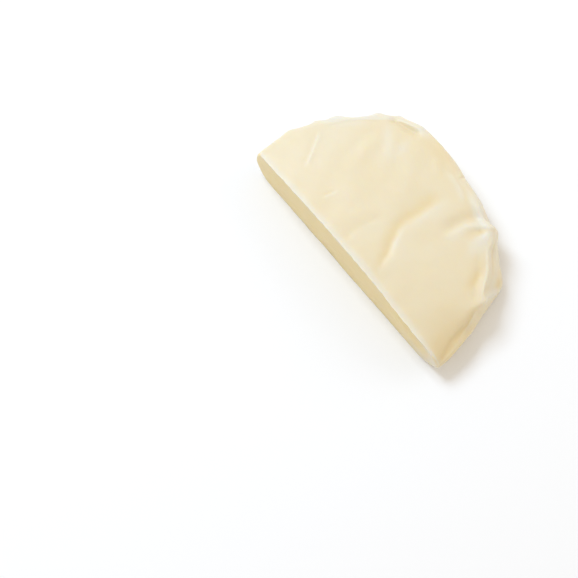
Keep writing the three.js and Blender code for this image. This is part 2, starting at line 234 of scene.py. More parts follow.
# The creases that the skin shows on the top.
CREASES = (
    # the long S-shaped crease from the cut towards the back, its valley deepened in tone as painted shade
    Crease(path=((32.2, -8.0), (29.0, 0.3), (26.6, 6.4), (24.6, 13.2), (20.9, 19.0), (18.3, 24.5),
                 (15.5, 31.0), (15.3, 38.6), (16.4, 46.7), (16.6, 54.0), (16.3, 61.2), (15.0, 68.0),
                 (12.0, 75.0)),
           depth=0.72, lip=0.25, gap=4.2, valley_reach=3.2, lip_reach=7.0, fade_in=22.0, fade_out=18.0,
           spread=2.0, step=0.8, step_reach=20.0, lip_inner=0.6, lip_pale_and_highlight=0.3, valley_deep_and_shade=0.8),
    # the faint crease beside it
    Crease(path=((-0.5, -7.4), (-2.4, -1.4), (-3.2, 5.8), (-2.0, 13.6), (0.3, 22.5), (2.9, 32.0)),
           depth=0.25, lip=0.08, gap=4.2, valley_reach=4.5, lip_reach=12.0, fade_in=8.0, fade_out=16.0),
    # the crease that runs from the middle into the pinch at the rim
    Crease(path=((36.8, 46.0), (37.4, 53.5), (38.6, 62.5), (41.2, 70.8), (45.2, 77.2), (50.4, 80.2)),
           depth=1.9, lip=0.7, gap=5.6, valley_reach=4.3, lip_reach=4.0, fade_in=15.0, fade_out=4.0,
           spread=1.3, valley_deep_and_shade=0.1),
    # the short crease below the pinch
    Crease(path=((55.5, 54.0), (54.4, 60.5), (53.4, 67.0), (52.4, 73.5), (51.0, 80.0)),
           depth=1.3, lip=0.9, gap=18.0, valley_reach=9.0, lip_reach=9.0, fade_in=20.0, fade_out=7.0,
           spread=0.15, valley_deep_and_shade=0.45),
    # the raised edge of the rim beyond the pinch
    Crease(path=((51.5, 80.5), (44.5, 80.3), (38.5, 81.2), (31.0, 83.2), (24.0, 85.0), (17.0, 86.5)),
           depth=0.4, lip=1.3, gap=5.0, valley_reach=4.0, lip_reach=2.5, fade_in=2.0, fade_out=18.0,
           lip_pale_and_highlight=0.5),
    # the crease along the flattened stretch of the rim
    Crease(path=((91.0, 36.0), (87.0, 42.0), (80.0, 49.5), (72.0, 58.0), (63.5, 66.5), (56.0, 73.5)),
           depth=1.2, lip=0.2, gap=7.0, valley_reach=3.4, lip_reach=3.0, fade_in=10.0, fade_out=34.0,
           valley_deep_and_shade=0.15),
    # the sharp edge above the flattened stretch
    Crease(path=((51.0, 79.5), (56.0, 71.7), (64.0, 64.7), (74.0, 55.6), (84.5, 42.0)),
           depth=0.1, lip=0.15, gap=1.6, valley_reach=2.0, lip_reach=1.0, fade_in=3.0, fade_out=8.0,
           lip_pale_and_highlight=2.4),
    # the trough just inside the back of the rim
    Crease(path=((-34.0, 92.5), (-42.5, 90.5), (-49.2, 88.8), (-54.6, 87.5), (-60.0, 85.5), (-65.0, 81.5)),
           depth=2.5, lip=0.7, gap=4.6, valley_reach=3.6, lip_reach=4.0, fade_in=8.0, fade_out=9.0,
           valley_deep_and_shade=0.1),
    # the fine edge along the back of the rim
    Crease(path=((-62.0, 76.0), (-66.5, 71.0), (-73.0, 63.0), (-78.5, 54.0), (-83.0, 44.5), (-86.5, 37.5)),
           depth=0.2, lip=0.2, gap=2.0, valley_reach=2.0, lip_reach=2.0, fade_in=8.0, fade_out=8.0),
    # the fine crease of the left end
    Crease(path=((-65.7, 7.0), (-69.7, 14.5), (-73.7, 21.0), (-78.2, 28.0), (-83.2, 35.5)),
           depth=0.15, lip=0.35, gap=2.4, valley_reach=3.0, lip_reach=2.0, fade_in=8.0, fade_out=8.0),
    # a short, fine fold left of the middle
    Crease(path=((-40.0, 0.5), (-38.2, 7.0), (-36.4, 14.7)),
           depth=0.2, lip=0.25, gap=1.8, valley_reach=1.6, lip_reach=2.2, fade_in=5.0, fade_out=6.0),
    # a fine fold inside the rim between the pinch and the back
    Crease(path=((-4.0, 84.5), (5.0, 84.0), (13.0, 82.5), (20.0, 79.5), (25.0, 75.0)),
           depth=0.1, lip=0.3, gap=2.8, valley_reach=2.5, lip_reach=2.5, fade_in=7.0, fade_out=9.0),
)

# Soft oval swellings and dips of the top.
SWELLINGS = (
    # soft ridges and a dip of the left half
    Oval(x=-50.0, y=50.0, half_length=13.0, half_width=4.5, turn=106.0, rise=0.7),
    Oval(x=-58.5, y=52.0, half_length=14.0, half_width=4.0, turn=92.0, rise=-0.4),
    Oval(x=-38.5, y=62.0, half_length=14.0, half_width=4.5, turn=125.0, rise=0.7),
    Oval(x=-13.0, y=59.0, half_length=19.0, half_width=6.0, turn=130.0, rise=0.55),
    Oval(x=-9.5, y=81.5, half_length=6.5, half_width=3.5, turn=150.0, rise=0.6),
    # the knot of the pinch
    Oval(x=50.5, y=79.0, half_length=5.0, half_width=3.0, turn=58.0, rise=0.9),
    # the dip beside the flattened stretch
    Oval(x=71.4, y=47.5, half_length=12.0, half_width=3.6, turn=103.0, rise=-0.5),
    # the sagging right shoulder
    Oval(x=99.0, y=4.0, half_length=24.0, half_width=12.5, turn=98.0, rise=-4.6),
)

# Tints of the top: paler where the rise is below zero, deeper where it is above.
TINTS = (
    # painted shade: the deep band along the right end, where the top turns down away from the light, and
    # the dip beside the flattened stretch
    Oval(x=92.0, y=5.0, half_length=20.0, half_width=5.5, turn=98.0, rise=0.5),
    Oval(x=82.0, y=12.0, half_length=20.0, half_width=13.0, turn=98.0, rise=0.25),
    Oval(x=71.6, y=47.0, half_length=11.5, half_width=3.6, turn=104.0, rise=0.5),
    # pale, stretched skin about the pinch and along the rim beyond it
    Oval(x=51.0, y=77.0, half_length=6.0, half_width=3.0, turn=98.0, rise=-0.8),
    Oval(x=38.0, y=80.8, half_length=9.0, half_width=4.6, turn=155.0, rise=-0.95),
    Oval(x=54.5, y=63.0, half_length=9.0, half_width=4.0, turn=102.0, rise=-0.25),
    Oval(x=20.0, y=81.0, half_length=18.0, half_width=5.0, turn=167.0, rise=-0.1),
    # the pale lip of the long crease, partly painted highlight on its side towards the light
    Oval(x=14.5, y=52.0, half_length=14.0, half_width=4.0, turn=87.0, rise=-0.35),
    Oval(x=18.0, y=20.3, half_length=10.0, half_width=2.0, turn=114.0, rise=-0.45),
    # painted light: the paler left end, which faces the light, and painted highlights on the ridges inside
    # it
    Oval(x=-75.0, y=35.0, half_length=30.0, half_width=16.0, turn=110.0, rise=-0.15),
    Oval(x=-46.8, y=67.3, half_length=12.0, half_width=4.0, turn=140.0, rise=-0.35),
    Oval(x=-35.3, y=68.7, half_length=9.0, half_width=3.5, turn=100.0, rise=-0.3),
    # the pale right tip, left back edge, flap outside the trough and middle of the cut's edge
    Oval(x=97.0, y=-9.0, half_length=3.0, half_width=3.0, turn=0.0, rise=-1.2),
    Oval(x=-77.5, y=54.0, half_length=14.0, half_width=4.0, turn=54.0, rise=-0.5),
    Oval(x=-39.0, y=92.0, half_length=7.0, half_width=3.0, turn=167.0, rise=-0.7),
    Oval(x=14.0, y=-9.0, half_length=16.0, half_width=2.6, turn=0.0, rise=-0.5),
    # painted shade: deeper at the back of the rim, where the top rounds off away from the light, outside
    # the pale stretch and in the valley at the pinch
    Oval(x=-18.0, y=89.0, half_length=18.0, half_width=6.0, turn=170.0, rise=0.3),
    Oval(x=44.5, y=86.0, half_length=7.0, half_width=2.6, turn=145.0, rise=0.5),
    Oval(x=49.0, y=75.7, half_length=3.6, half_width=1.8, turn=68.0, rise=1.1),
)

# Tints of the rim, placed in millimetres round it and up it.
RIM_TINTS = (
    # the pale flap at the back left, and the wall between it and the pinch
    Oval(x=240.0, y=31.0, half_length=32.0, half_width=6.0, turn=0.0, rise=-0.9),
    Oval(x=138.0, y=29.0, half_length=26.0, half_width=7.0, turn=0.0, rise=-0.15),
    # the flattened stretch, pale but for painted shade in its hollow and at its near corner
    Oval(x=62.0, y=20.0, half_length=10.0, half_width=5.0, turn=0.0, rise=-0.5),
    Oval(x=92.0, y=20.0, half_length=14.0, half_width=12.0, turn=0.0, rise=-0.3),
    Oval(x=86.0, y=25.5, half_length=18.0, half_width=1.6, turn=0.0, rise=0.4),
    Oval(x=68.0, y=16.5, half_length=6.0, half_width=4.0, turn=0.0, rise=0.6),
    # painted shade: the deeper right end, and the strip below the pinch where the wall is in shade
    Oval(x=8.0, y=18.0, half_length=22.0, half_width=7.0, turn=0.0, rise=0.5),
    Oval(x=106.0, y=30.5, half_length=5.0, half_width=4.0, turn=0.0, rise=1.0),
)

# Tints of the cut, placed along it and up it: it is paler towards its right end.
CUT_TINTS = (
    Oval(x=76.0, y=8.0, half_length=24.0, half_width=9.0, turn=0.0, rise=-0.15),
    Oval(x=97.0, y=14.0, half_length=7.0, half_width=10.0, turn=0.0, rise=-0.8),
    Oval(x=84.0, y=26.0, half_length=9.0, half_width=3.0, turn=160.0, rise=-0.8),
    Oval(x=86.0, y=4.0, half_length=11.0, half_width=5.0, turn=0.0, rise=-0.5),
)

# Folds of the skin on the rim: paths in millimetres round the rim and up it, heights outwards.
RIM_CREASES = (
    # the fold down from the near corner of the flattened stretch
    Crease(path=((42.0, 32.0), (48.0, 27.0), (55.0, 20.5), (61.5, 14.0), (66.0, 8.0)),
           depth=0.5, lip=1.1, gap=5.0, valley_reach=3.0, lip_reach=2.6, fade_in=6.0, fade_out=6.0,
           lip_pale_and_highlight=0.4),
    # the low edge along the right end, under the dark band: painted shade in its valley and a painted
    # highlight along its lip
    Crease(path=((-7.0, 17.0), (1.7, 18.4), (9.8, 19.6), (17.5, 20.4), (26.1, 22.0), (33.5, 25.2),
                 (40.0, 28.5)),
           depth=0.45, lip=0.15, gap=0.9, valley_reach=2.2, lip_reach=0.9, fade_in=4.0, fade_out=10.0,
           lip_pale_and_highlight=1.0, valley_deep_and_shade=1.1),
)

# Relief of the right half of the cut face: places along the cut and up it, heights outwards.
CUT_CREASES = (
    # a low, broad swell, steeper above than below
    Crease(path=((46.0, 26.0), (55.0, 23.5), (62.5, 21.5), (72.2, 19.9), (80.0, 18.9), (88.3, 18.9)),
           depth=0.1, lip=0.9, gap=4.0, valley_reach=3.0, lip_reach=8.0, fade_in=14.0, fade_out=8.0,
           lip_inner=1.2),
    # a fine groove along it
    Crease(path=((46.0, 25.0), (55.0, 22.5), (62.5, 20.5), (72.2, 18.9), (80.0, 17.9), (88.3, 17.9)),
           depth=0.1, lip=-0.35, gap=1.5, valley_reach=1.0, lip_reach=1.1, fade_in=6.0, fade_out=6.0),
)

# Soft dips and a ridge of the rim, placed like its folds.
RIM_SWELLINGS = (
    # the hollow below the pinch
    Oval(x=110.5, y=26.0, half_length=4.5, half_width=4.5, turn=0.0, rise=-1.1),
    # the hollow and the ridge along the flattened stretch
    Oval(x=86.0, y=25.5, half_length=19.0, half_width=1.7, turn=0.0, rise=-0.9),
    Oval(x=86.0, y=21.0, half_length=18.0, half_width=1.8, turn=0.0, rise=0.4),
)


@dataclass(frozen=True)
class RimShape:
    """How the rim's outline and upright section depart from a plain round, by angle.

    Bumps are added to the girth's radius, the top edge's inset from it, the wall's middle, the softness of
    the top's corner, the roundness about the girth, the foot's inset and the girth's level.
    """

    girth: tuple[Bump, ...] = (
        Bump(-4.0, 8.0, 4.2), Bump(10.0, 15.0, -0.8), Bump(22.0, 7.0, -1.8), Bump(39.5, 6.0, 3.6),
        Bump(52.0, 9.0, 0.4), Bump(77.0, 7.0, 1.7), Bump(81.0, 17.0, -4.6), Bump(118.0, 15.0, 4.6))
    inset: tuple[Bump, ...] = (
        Bump(4.0, 14.0, 7.0), Bump(25.0, 4.0, -2.4), Bump(41.5, 11.0, 8.2), Bump(57.5, 3.5, -0.5),
        Bump(65.0, 5.0, 2.5), Bump(75.0, 11.0, 4.0), Bump(123.5, 4.0, -1.5))
    lumps: tuple[Bump, ...] = (
        Bump(4.0, 14.0, -3.0), Bump(59.0, 3.0, 3.5), Bump(124.0, 3.0, 5.5), Bump(132.0, 3.4, 7.5),
        Bump(148.5, 5.0, 4.8), Bump(157.5, 2.6, 3.8), Bump(168.5, 4.2, 3.2))
    edge_round: tuple[Bump, ...] = (
        Bump(4.0, 14.0, 4.0), Bump(38.0, 16.0, -1.8), Bump(92.0, 12.0, 4.0), Bump(180.0, 14.0, 5.0))
    girth_round: tuple[Bump, ...] = (Bump(-5.0, 8.0, 0.3), Bump(12.0, 12.0, -0.3))
    foot: tuple[Bump, ...] = (Bump(-4.0, 16.0, 15.0), Bump(180.0, 24.0, 9.0))
    girth_lift: tuple[Bump, ...] = (Bump(8.0, 15.0, 8.5), Bump(180.0, 24.0, 4.0))
    slope_limits: tuple[float, float] = (-0.5, 0.15)  # of the top where it meets the rim
    slope_step: float = 0.5  # distance over which that slope is measured
    wall_bulge: float = 0.6
    mid_level: float = 0.45  # of the wall's middle mark, as a share of the way from the edge to the girth
    girth_bulge: float = 0.5
    girth_share: float = 0.5  # how far from the girth the curves above and below it meet it
    lump_at_girth: float = 0.1  # share of a lump that the girth keeps
    foot_turn: float = 0.15  # how far in the foot's turn lies, as a share of the foot's inset
    foot_turn_growth: float = 0.04  # by how much that share grows for each millimetre of extra inset
    corner_limit: float = 0.8  # the soft corner takes at most this share of the way to the middle mark
    row_shares: tuple[float, ...] = (0.26, 0.3, 0.24, 0.2)  # of the wall's rows, for its four curves
    calm_top: float = 0.25  # the rim's relief fades in over this share of its rows from the top
    calm_foot: float = 0.2  # and over this share of them from the foot
    calm_ends: float = 0.04  # and over this share of the way round from each end of the cut


@dataclass(frozen=True)
class CutRelief:
    """Relief of the cut face: the skin's edge stands proud along the top, with a groove under it."""

    lip_out: float = 0.55
    lip_more: float = 0.8  # added to lip_out above the groove
    lip_deep: float = 1.6
    nose: float = 0.45  # radius of the very edge
    groove_in: float = 0.9
    groove_below: float = 3.6
    groove_half: float = 1.3
    groove_right: tuple[float, float] = (92.0, 10.0)  # where the groove ends, and how long it fades out
    groove_left: tuple[float, float] = (38.0, 14.0)
    raggedness: Unevenness = Unevenness(6.0, 0.12, 17)
    rind: float = 1.4  # depth below the top edge where the skin's finish starts to give way to the paste's
    rind_fade: float = 1.2

    def back(self, x: Array, below: Array) -> Array:
        """How far the cut stands back at a depth below its top edge.

        The lip and the groove are rounded hills, and the very edge is a quarter circle.
        """
        raggedness = self.raggedness.at(x, np.zeros_like(x))
        right, right_fade = self.groove_right
        left, left_fade = self.groove_left
        reach = ramp((x - left) / left_fade) * ramp((right - x) / right_fade)
        groove = self.groove_in * reach * hill(below - self.groove_below, self.groove_half)
        rest = 1.0 - np.clip(below / self.nose, 0.0, 1.0)
        lip = (self.lip_out + self.lip_more * reach + raggedness) * hill(below, self.lip_deep)
        return groove - lip + self.nose * (1.0 - np.sqrt(1.0 - rest ** 2))


@dataclass(frozen=True)
class Tinting:
    """Where the skin's tone leaves its middle: -1 is the pale, dry film, 1 the deep, waxy yellow; both also
    carry painted light, painted highlight on the pale side and painted shade on the deep side.
    """

    creases: tuple[Crease, ...] = CREASES
    ovals: tuple[Oval, ...] = TINTS
    rim_ovals: tuple[Oval, ...] = RIM_TINTS
    rim_creases: tuple[Crease, ...] = RIM_CREASES
    cut_ovals: tuple[Oval, ...] = CUT_TINTS
    cut_edge: float = -0.9
    cut_edge_reach: float = 2.4
    border_fall: float = 0.5  # the top's tone fades out over this share of the wall's rows

    def top(self, x: Array, y: Array, from_cut: Array) -> Array:
        """Tone of the top at plan points, paler towards the cut."""
        tone = sum(crease.tone(x, y) for crease in self.creases)
        tone = tone + sum(oval.height(x, y) for oval in self.ovals)
        return tone + self.cut_edge * hill(from_cut, self.cut_edge_reach)

    def rim(self, around: Array, height: Array) -> Array:
        """Tone that the rim adds to what is left of the top's."""
        folds = sum(fold.tone(around, height) for fold in self.rim_creases)
        return folds + sum(oval.height(around, height) for oval in self.rim_ovals)

    def cut(self, x: Array, height: Array, below: Array) -> Array:
        """Tone of the cut face, palest along its top edge."""
        tone = sum(oval.height(x, height) for oval in self.cut_ovals)
        return tone + self.cut_edge * hill(below, self.cut_edge_reach)


def closed_band(numbers: Array) -> Array:
    """Triangles between each row of a grid of point numbers and the next, the last row joined to the first.

    Each square of the grid gives two. Those that a repeated number makes flat are left out.
    """
    above = np.roll(numbers, -1, axis=0)
    first = np.stack([numbers[:, :-1], above[:, 1:], numbers[:, 1:]], -1).reshape(-1, 3)
    second = np.stack([numbers[:, :-1], above[:, :-1], above[:, 1:]], -1).reshape(-1, 3)
    faces = np.concatenate([first, second])
    whole = (faces[:, 0] != faces[:, 1]) & (faces[:, 1] != faces[:, 2]) & (faces[:, 2] != faces[:, 0])
    return faces[whole]


@dataclass
class HalfWheel:
    """The half wheel: a crowned, creased top, a rounded rim, a straight cut face and a flat underside."""

    finish: CheeseFinish
    node: str = "half_wheel"
    slot: str = "cheese"
    centre: tuple[float, float] = (-0.4, -43.8)  # where the wheel's centre stands in the part's frame
    wheel_radius: float = 101.0  # mean radius at the girth, the widest level of the rim
    cut_back: float = 10.4  # the cut passes this far in front of the wheel's centre
    crown_height: float = 37.4  # the top above the table at its highest, creases apart
    crown_place: tuple[float, float] = (-5.0, 8.0)
    crown_reach: float = 95.0  # distance over which the top falls by rim_drop
    crown_power: float = 2.4
    rim_drop: float = 7.0
    corner_droop: float = 3.0  # the right end of the cut sags by this much
    corner_place: tuple[float, float] = (100.0, -10.0)
    corner_reach: float = 36.0
    girth_height: float = 9.0
    edge_inset: float = 3.2  # the top's edge is this far inside the girth
    edge_round: float = 3.0  # radius of the soft corner along the top's edge
    foot_inset: float = 8.0  # the underside's flat stops this far inside the girth
    tip_round: float = 2.0  # rounding of the two upright corners at the ends of the cut
    rim: RimShape = RimShape()
    cut: CutRelief = CutRelief()
    creases: tuple[Crease, ...] = CREASES
    swellings: tuple[Oval, ...] = SWELLINGS
    tinting: Tinting = Tinting()
    rim_creases: tuple[Crease, ...] = RIM_CREASES
    rim_swellings: tuple[Oval, ...] = RIM_SWELLINGS
    cut_creases: tuple[Crease, ...] = CUT_CREASES
    top_unevenness: tuple[Unevenness, ...] = (Unevenness(26.0, 0.10, 3), Unevenness(11.0, 0.03, 5))
    rim_unevenness: tuple[Unevenness, ...] = (
        Unevenness(30.0, 0.35, 8, 1.6), Unevenness(12.0, 0.09, 9, 1.8), Unevenness(6.0, 0.035, 11, 2.2))
    cut_unevenness: tuple[Unevenness, ...] = (
        Unevenness(9.0, 0.05, 12, 0.25), Unevenness(30.0, 0.12, 13, 0.6))
    columns: int = 320
    top_rows: int = 150
    wall_rows: int = 64
    base_rows: int = 12
    row_crowding: float = 0.35  # how strongly the top's rows crowd towards its borders
    level_crowding: float = 0.4  # and the cut face's rows towards its top edge
    cut_ends: float = 0.1  # share of the cut's length over which its levels pass to those of its ends

    def girth_radius(self, degrees: Array) -> Array:
        """Radius at the girth, the widest level of the rim."""
        return self.wheel_radius + bumps_at(self.rim.girth, degrees)

    def edge_radius(self, degrees: Array) -> Array:
        """Radius of the top's edge, inside the girth."""
        return self.girth_radius(degrees) - self.edge_inset - bumps_at(self.rim.inset, degrees)

    def top_height(self, x: Array, y: Array) -> Array:
        """Height of the top: a shallow crown that sags at the right corner, with creases and swellings."""
        away = np.hypot(x - self.crown_place[0], y - self.crown_place[1])
        from_corner = np.hypot(x - self.corner_place[0], y - self.corner_place[1])
        height = self.crown_height - self.rim_drop * (away / self.crown_reach) ** self.crown_power
        height = height - self.corner_droop * hill(from_corner, self.corner_reach)
        height = height + sum(crease.height(x, y) for crease in self.creases)
        height = height + sum(swelling.height(x, y) for swelling in self.swellings)
        return height + sum(relief.at(x, y) for relief in self.top_unevenness)

    def rim_curves(self, angle: Array) -> tuple[tuple[Array, Array, Array], ...]:
        """Marks of the rim's upright section at each angle, as radii and heights.

        The section is four quadratic Bezier curves: a soft corner, a leaning wall, the girth and a wide
        round under it.

        Args:
            angle: angles round the rim, in radians.

        Returns:
            First, middle and last mark of each curve, from the top's border to the underside.
        """
        degrees = np.degrees(angle)
        edge, girth = self.edge_radius(degrees), self.girth_radius(degrees)
        soft = self.edge_round + bumps_at(self.rim.edge_round, degrees)
        lump = bumps_at(self.rim.lumps, degrees)
        extra_foot = bumps_at(self.rim.foot, degrees)
        foot = girth - self.foot_inset - extra_foot
        girth_level = self.girth_height + bumps_at(self.rim.girth_lift, degrees)
        ground = np.zeros_like(edge)

        def height_at(radius: Array) -> Array:
            """Height of the top at a radius, along each angle."""
            return self.top_height(radius * np.cos(angle), radius * np.sin(angle))

        border = np.stack([edge - soft, height_at(edge - soft)])
        slope = (height_at(border[0] + self.rim.slope_step) - border[1]) / self.rim.slope_step
        corner = np.stack([edge, border[1] + soft * np.clip(slope, *self.rim.slope_limits)])
        mid_height = corner[1] + self.rim.mid_level * (girth_level - corner[1])
        mid = np.stack([(edge + girth) / 2.0 + lump + self.rim.wall_bulge, mid_height])
        low = np.stack([girth + self.rim.girth_bulge + self.rim.lump_at_girth * lump, girth_level])
        turn_share = self.rim.foot_turn + self.rim.foot_turn_growth * extra_foot
        turn = np.stack([girth - turn_share * (girth - foot), ground])
        reach = np.hypot(*(corner - mid))
        under = corner + np.minimum(soft, self.rim.corner_limit * reach) / reach * (mid - corner)
        share = self.rim.girth_share + bumps_at(self.rim.girth_round, degrees)
        shoulder, waist = low + share * (mid - low), low + share * (turn - low)
        return ((border, corner, under), (under, mid, shoulder), (shoulder, low, waist),
                (waist, turn, np.stack([foot, ground])))

    def rim_section(self, angle: Array) -> tuple[Array, Array]:
        """Radii and heights down the rim's section at each angle, a row for each level of the wall.

        A curve is (1 - t) squared of its first mark, 2 t (1 - t) of its middle and t squared of its last.
        """
        curves = self.rim_curves(angle)
        counts = np.maximum(1, np.round(np.array(self.rim.row_shares) * self.wall_rows)).astype(int)
        counts[1] += self.wall_rows - counts.sum()
        levels = [curves[0][0][None]]
        for (first, middle, last), count in zip(curves, counts):
            t = (np.arange(1, count + 1) / count)[:, None, None]
            levels.append((1.0 - t) ** 2 * first + 2.0 * t * (1.0 - t) * middle + t ** 2 * last)
        section = np.concatenate(levels)
        return section[:, 0], section[:, 1]

    def rim_surface(self, share: Array) -> Array:
        """The rim from the top's border down to the underside, at shares of the way round from the right.

        The rows are drawn round until both ends lie on the cut, and the heights follow the top's border.
        """
        tip_y = self.tip_round - self.cut_back
        start = math.asin(tip_y / self.edge_radius(np.array(0.0)))
        radius, height = self.rim_section(start + share * (math.pi - 2.0 * start))
        right = np.arcsin(tip_y / radius[:, :1])
        left = math.pi - np.arcsin(tip_y / radius[:, -1:])
        angle = right + share * (left - right)
        level = np.linspace(0.0, 1.0, self.wall_rows + 1)[:, None]
        around = self.wheel_radius * angle
        calm = ramp(level / self.rim.calm_top) * ramp((1.0 - level) / self.rim.calm_foot)
        calm = calm * ramp(np.minimum(share, 1.0 - share) / self.rim.calm_ends)
        radius = radius + calm * sum(relief.at(around, height) for relief in self.rim_unevenness)
        folds = sum(fold.height(around, height) for fold in self.rim_creases + self.rim_swellings)
        radius = radius + calm * folds
        x, y = radius * np.cos(angle), radius * np.sin(angle)
        height = height * self.top_height(x[0], y[0]) / height[0]
        return np.stack([x, y, height], -1)

    def cut_surface(self, share: Array, rim: Array) -> Array:
        """The cut face from its top edge down, at shares of the way from the right end to the left.

        Its rows crowd towards the top edge, and at both ends they fall in with the rim's rows.
        """
        right, left = rim[:, 0], rim[:, -1]
        x = right[:, :1] + share * (left[:, :1] - right[:, :1])
        inset = np.clip(np.minimum(right[:, :1] - x, x - left[:, :1]) / self.tip_round, 0.0, 1.0)
        y = self.tip_round * (1.0 - np.sqrt(1.0 - (1.0 - inset) ** 2)) - self.cut_back
        level = np.linspace(0.0, 1.0, self.wall_rows + 1)[:, None]
        plain = 1.0 - ((1.0 - self.level_crowding) * level ** 2 + self.level_crowding * level ** 4)
        at_tips = right[:, 2:] / right[0, 2] * (1.0 - share) + left[:, 2:] / left[0, 2] * share
        middle = ramp(np.minimum(share, 1.0 - share) / self.cut_ends)
        edge_height = self.top_height(x[0], y[0])
        z = edge_height * (at_tips + middle * (plain - at_tips))
        uneven = sum(relief.at(x, z) for relief in self.cut_unevenness)
        uneven = uneven - sum(fold.height(x, z) for fold in self.cut_creases)
        below = edge_height - z
        y = y + middle * (self.cut.back(x, below) + ramp(below / self.cut.lip_deep - 1.0) * uneven)
        return np.stack([x, y, z], -1)

    def top_surface(self, front: Array, back: Array) -> Array:
        """The top between the cut's edge and the rim's border, its rows crowded towards both."""
        t = np.linspace(0.0, 1.0, self.top_rows + 1)[1:-1]
        whole_turn = 2.0 * math.pi
        spread = (t - self.row_crowding * np.sin(whole_turn * t) / whole_turn)[:, None, None]
        plan = front[:, :2] + spread * (back[:, :2] - front[:, :2])
        return np.dstack([plan, self.top_height(plan[..., 0], plan[..., 1])])

    def base_surface(self, back: Array, front: Array) -> Array:
        """The flat underside in even rows between the rim's lowest row and the cut's."""
        t = np.linspace(0.0, 1.0, self.base_rows + 1)[1:-1][:, None, None]
        return back + t * (front - back)

    def point_numbers(self, rows: int) -> Array:
        """Grid of the vertices' numbers, a row for each level of the loops and a column for each loop.

        The inner loops count row by row. Each end's loop folds flat onto its upright corner, which has a
        point for each level of the wall: the top's rows share the highest and the underside's the lowest.
        """
        levels = self.wall_rows + 1
        inner = np.arange(rows * (self.columns - 1)).reshape(rows, self.columns - 1)
        ends = inner.size + np.arange(2 * levels).reshape(2, levels)
        up, down = np.arange(levels)[::-1], np.arange(levels)
        top, base = np.full(self.top_rows - 1, 0), np.full(self.base_rows - 1, levels - 1)
        level = np.concatenate([up, top, down, base])
        return np.concatenate([ends[0][level][:, None], inner, ends[1][level][:, None]], axis=1)

    def surface(self) -> tuple[Array, Array, Array, Array]:
        """The whole closed body as loops of points, one for each column from the right end to the left.

        A loop runs up the cut face, over the top, down the rim and back under. The columns stand closer
        towards both ends, halfway between even and cosine spacing.

        Returns:
            Vertices, triangles with their faces outwards, and each vertex's share of paste and tone.
        """
        even = np.linspace(0.0, 1.0, self.columns + 1)
        cosine = (1.0 - np.cos(math.pi * even)) / 2.0
        share = (even + cosine) / 2.0
        rim = self.rim_surface(share)
        cut = self.cut_surface(share, rim)
        top = self.top_surface(cut[0], rim[0])
        base = self.base_surface(rim[-1], cut[-1])
        loops = np.concatenate([cut[::-1], top, rim, base])
        vertices = np.concatenate([loops[:, 1:-1].reshape(-1, 3), rim[:, 0], rim[:, -1]])
        corners = 2 * len(rim)
        paste = self.paste(loops, cut)
        paste = np.concatenate([paste[:, 1:-1].ravel(), np.full(corners, Zone.SKIN.value)])
        tone = self.tone(loops, cut, rim)
        tone = np.concatenate([tone[:, 1:-1].ravel(), np.full(corners, self.tinting.cut_edge)])
        return vertices, closed_band(self.point_numbers(len(loops))), paste, tone

    def paste(self, loops: Array, cut: Array) -> Array:
        """Share of paste at every point of the loops: all skin but for the cut face below its rind."""
        below = cut[0, :, 2] - cut[..., 2]
        paste = np.full(loops.shape[:2], Zone.SKIN.value)
        paste[:len(cut)] = Zone.PASTE.value * ramp((below - self.cut.rind) / self.cut.rind_fade)[::-1]
        return paste

    def tone(self, loops: Array, cut: Array, rim: Array) -> Array:
        """Tone at every point of the loops: the top's fades out down the rim, where its own is added."""
        levels = self.wall_rows + 1
        first_rim = levels + self.top_rows - 1
        tone = np.zeros(loops.shape[:2])
        tone[:levels] = self.tinting.cut(cut[..., 0], cut[..., 2], cut[0, :, 2] - cut[..., 2])[::-1]
        top = loops[levels:first_rim + 1]
        tone[levels:first_rim + 1] = self.tinting.top(top[..., 0], top[..., 1], top[..., 1] + self.cut_back)
        around = self.wheel_radius * np.arctan2(rim[..., 1], rim[..., 0])
        fall = 1.0 - ramp(np.linspace(0.0, 1.0, levels) / self.tinting.border_fall)[:, None]
        tone[first_rim:first_rim + levels] = tone[first_rim] * fall + self.tinting.rim(around, rim[..., 2])
        tone[first_rim + levels:] = tone[first_rim + levels - 1]
        return tone

    def build(self) -> bpy.types.Object:
        """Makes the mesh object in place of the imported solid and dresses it."""
        vertices, faces, paste, tone = self.surface()
        places = (vertices + np.array([*self.centre, 0.0])) * MILLIMETRE
        mesh = bpy.data.meshes.new(self.node)
        mesh.from_pydata(places, [], faces)
        mesh.polygons.foreach_set("use_smooth", np.ones(len(faces), bool))
        mesh.attributes.new("paste", "FLOAT", "POINT").data.foreach_set("value", paste)
        # the tone holds the skin's own tints and also painted shade and painted highlight
        mesh.attributes.new("tone", "FLOAT", "POINT").data.foreach_set("value", tone)
        mesh.materials.append(self.finish.material())
        mesh.update()
        piece = bpy.data.objects.new("half_wheel_piece", mesh)
        bpy.context.scene.collection.objects.link(piece)
        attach(piece, "root")
        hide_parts(self.node)
        LOG.info("%s: %d vertices, %d triangles", piece.name, len(vertices), len(faces))
        return piece


def linear(colour: str) -> tuple[float, float, float, float]:
    """Turns an sRGB hex colour into linear red, green and blue with full alpha, by the sRGB curve."""
    srgb = np.array([int(colour[k:k + 2], 16) for k in (1, 3, 5)]) / 255.0
    light = np.where(srgb <= 0.04045, srgb / 12.92, ((srgb + 0.055) / 1.055) ** 2.4)
    return (*light.tolist(), 1.0)


def add_node(tree: bpy.types.NodeTree, kind: str, links: dict | None = None,
             **settings: object) -> bpy.types.Node:
    """Adds one node to a tree.

    Args:
        tree: the material's or world's node tree.
        kind: the node's type name.
        links: output sockets or values for the node's inputs, by input name or number.
        **settings: properties of the node.

    Returns:
        The new node.
    """
    node = tree.nodes.new(kind)
    for name, value in settings.items():
        setattr(node, name, value)
    for name, value in (links or {}).items():
        if isinstance(value, bpy.types.NodeSocket):
            tree.links.new(value, node.inputs[name])
        else:
            node.inputs[name].default_value = value
    return node


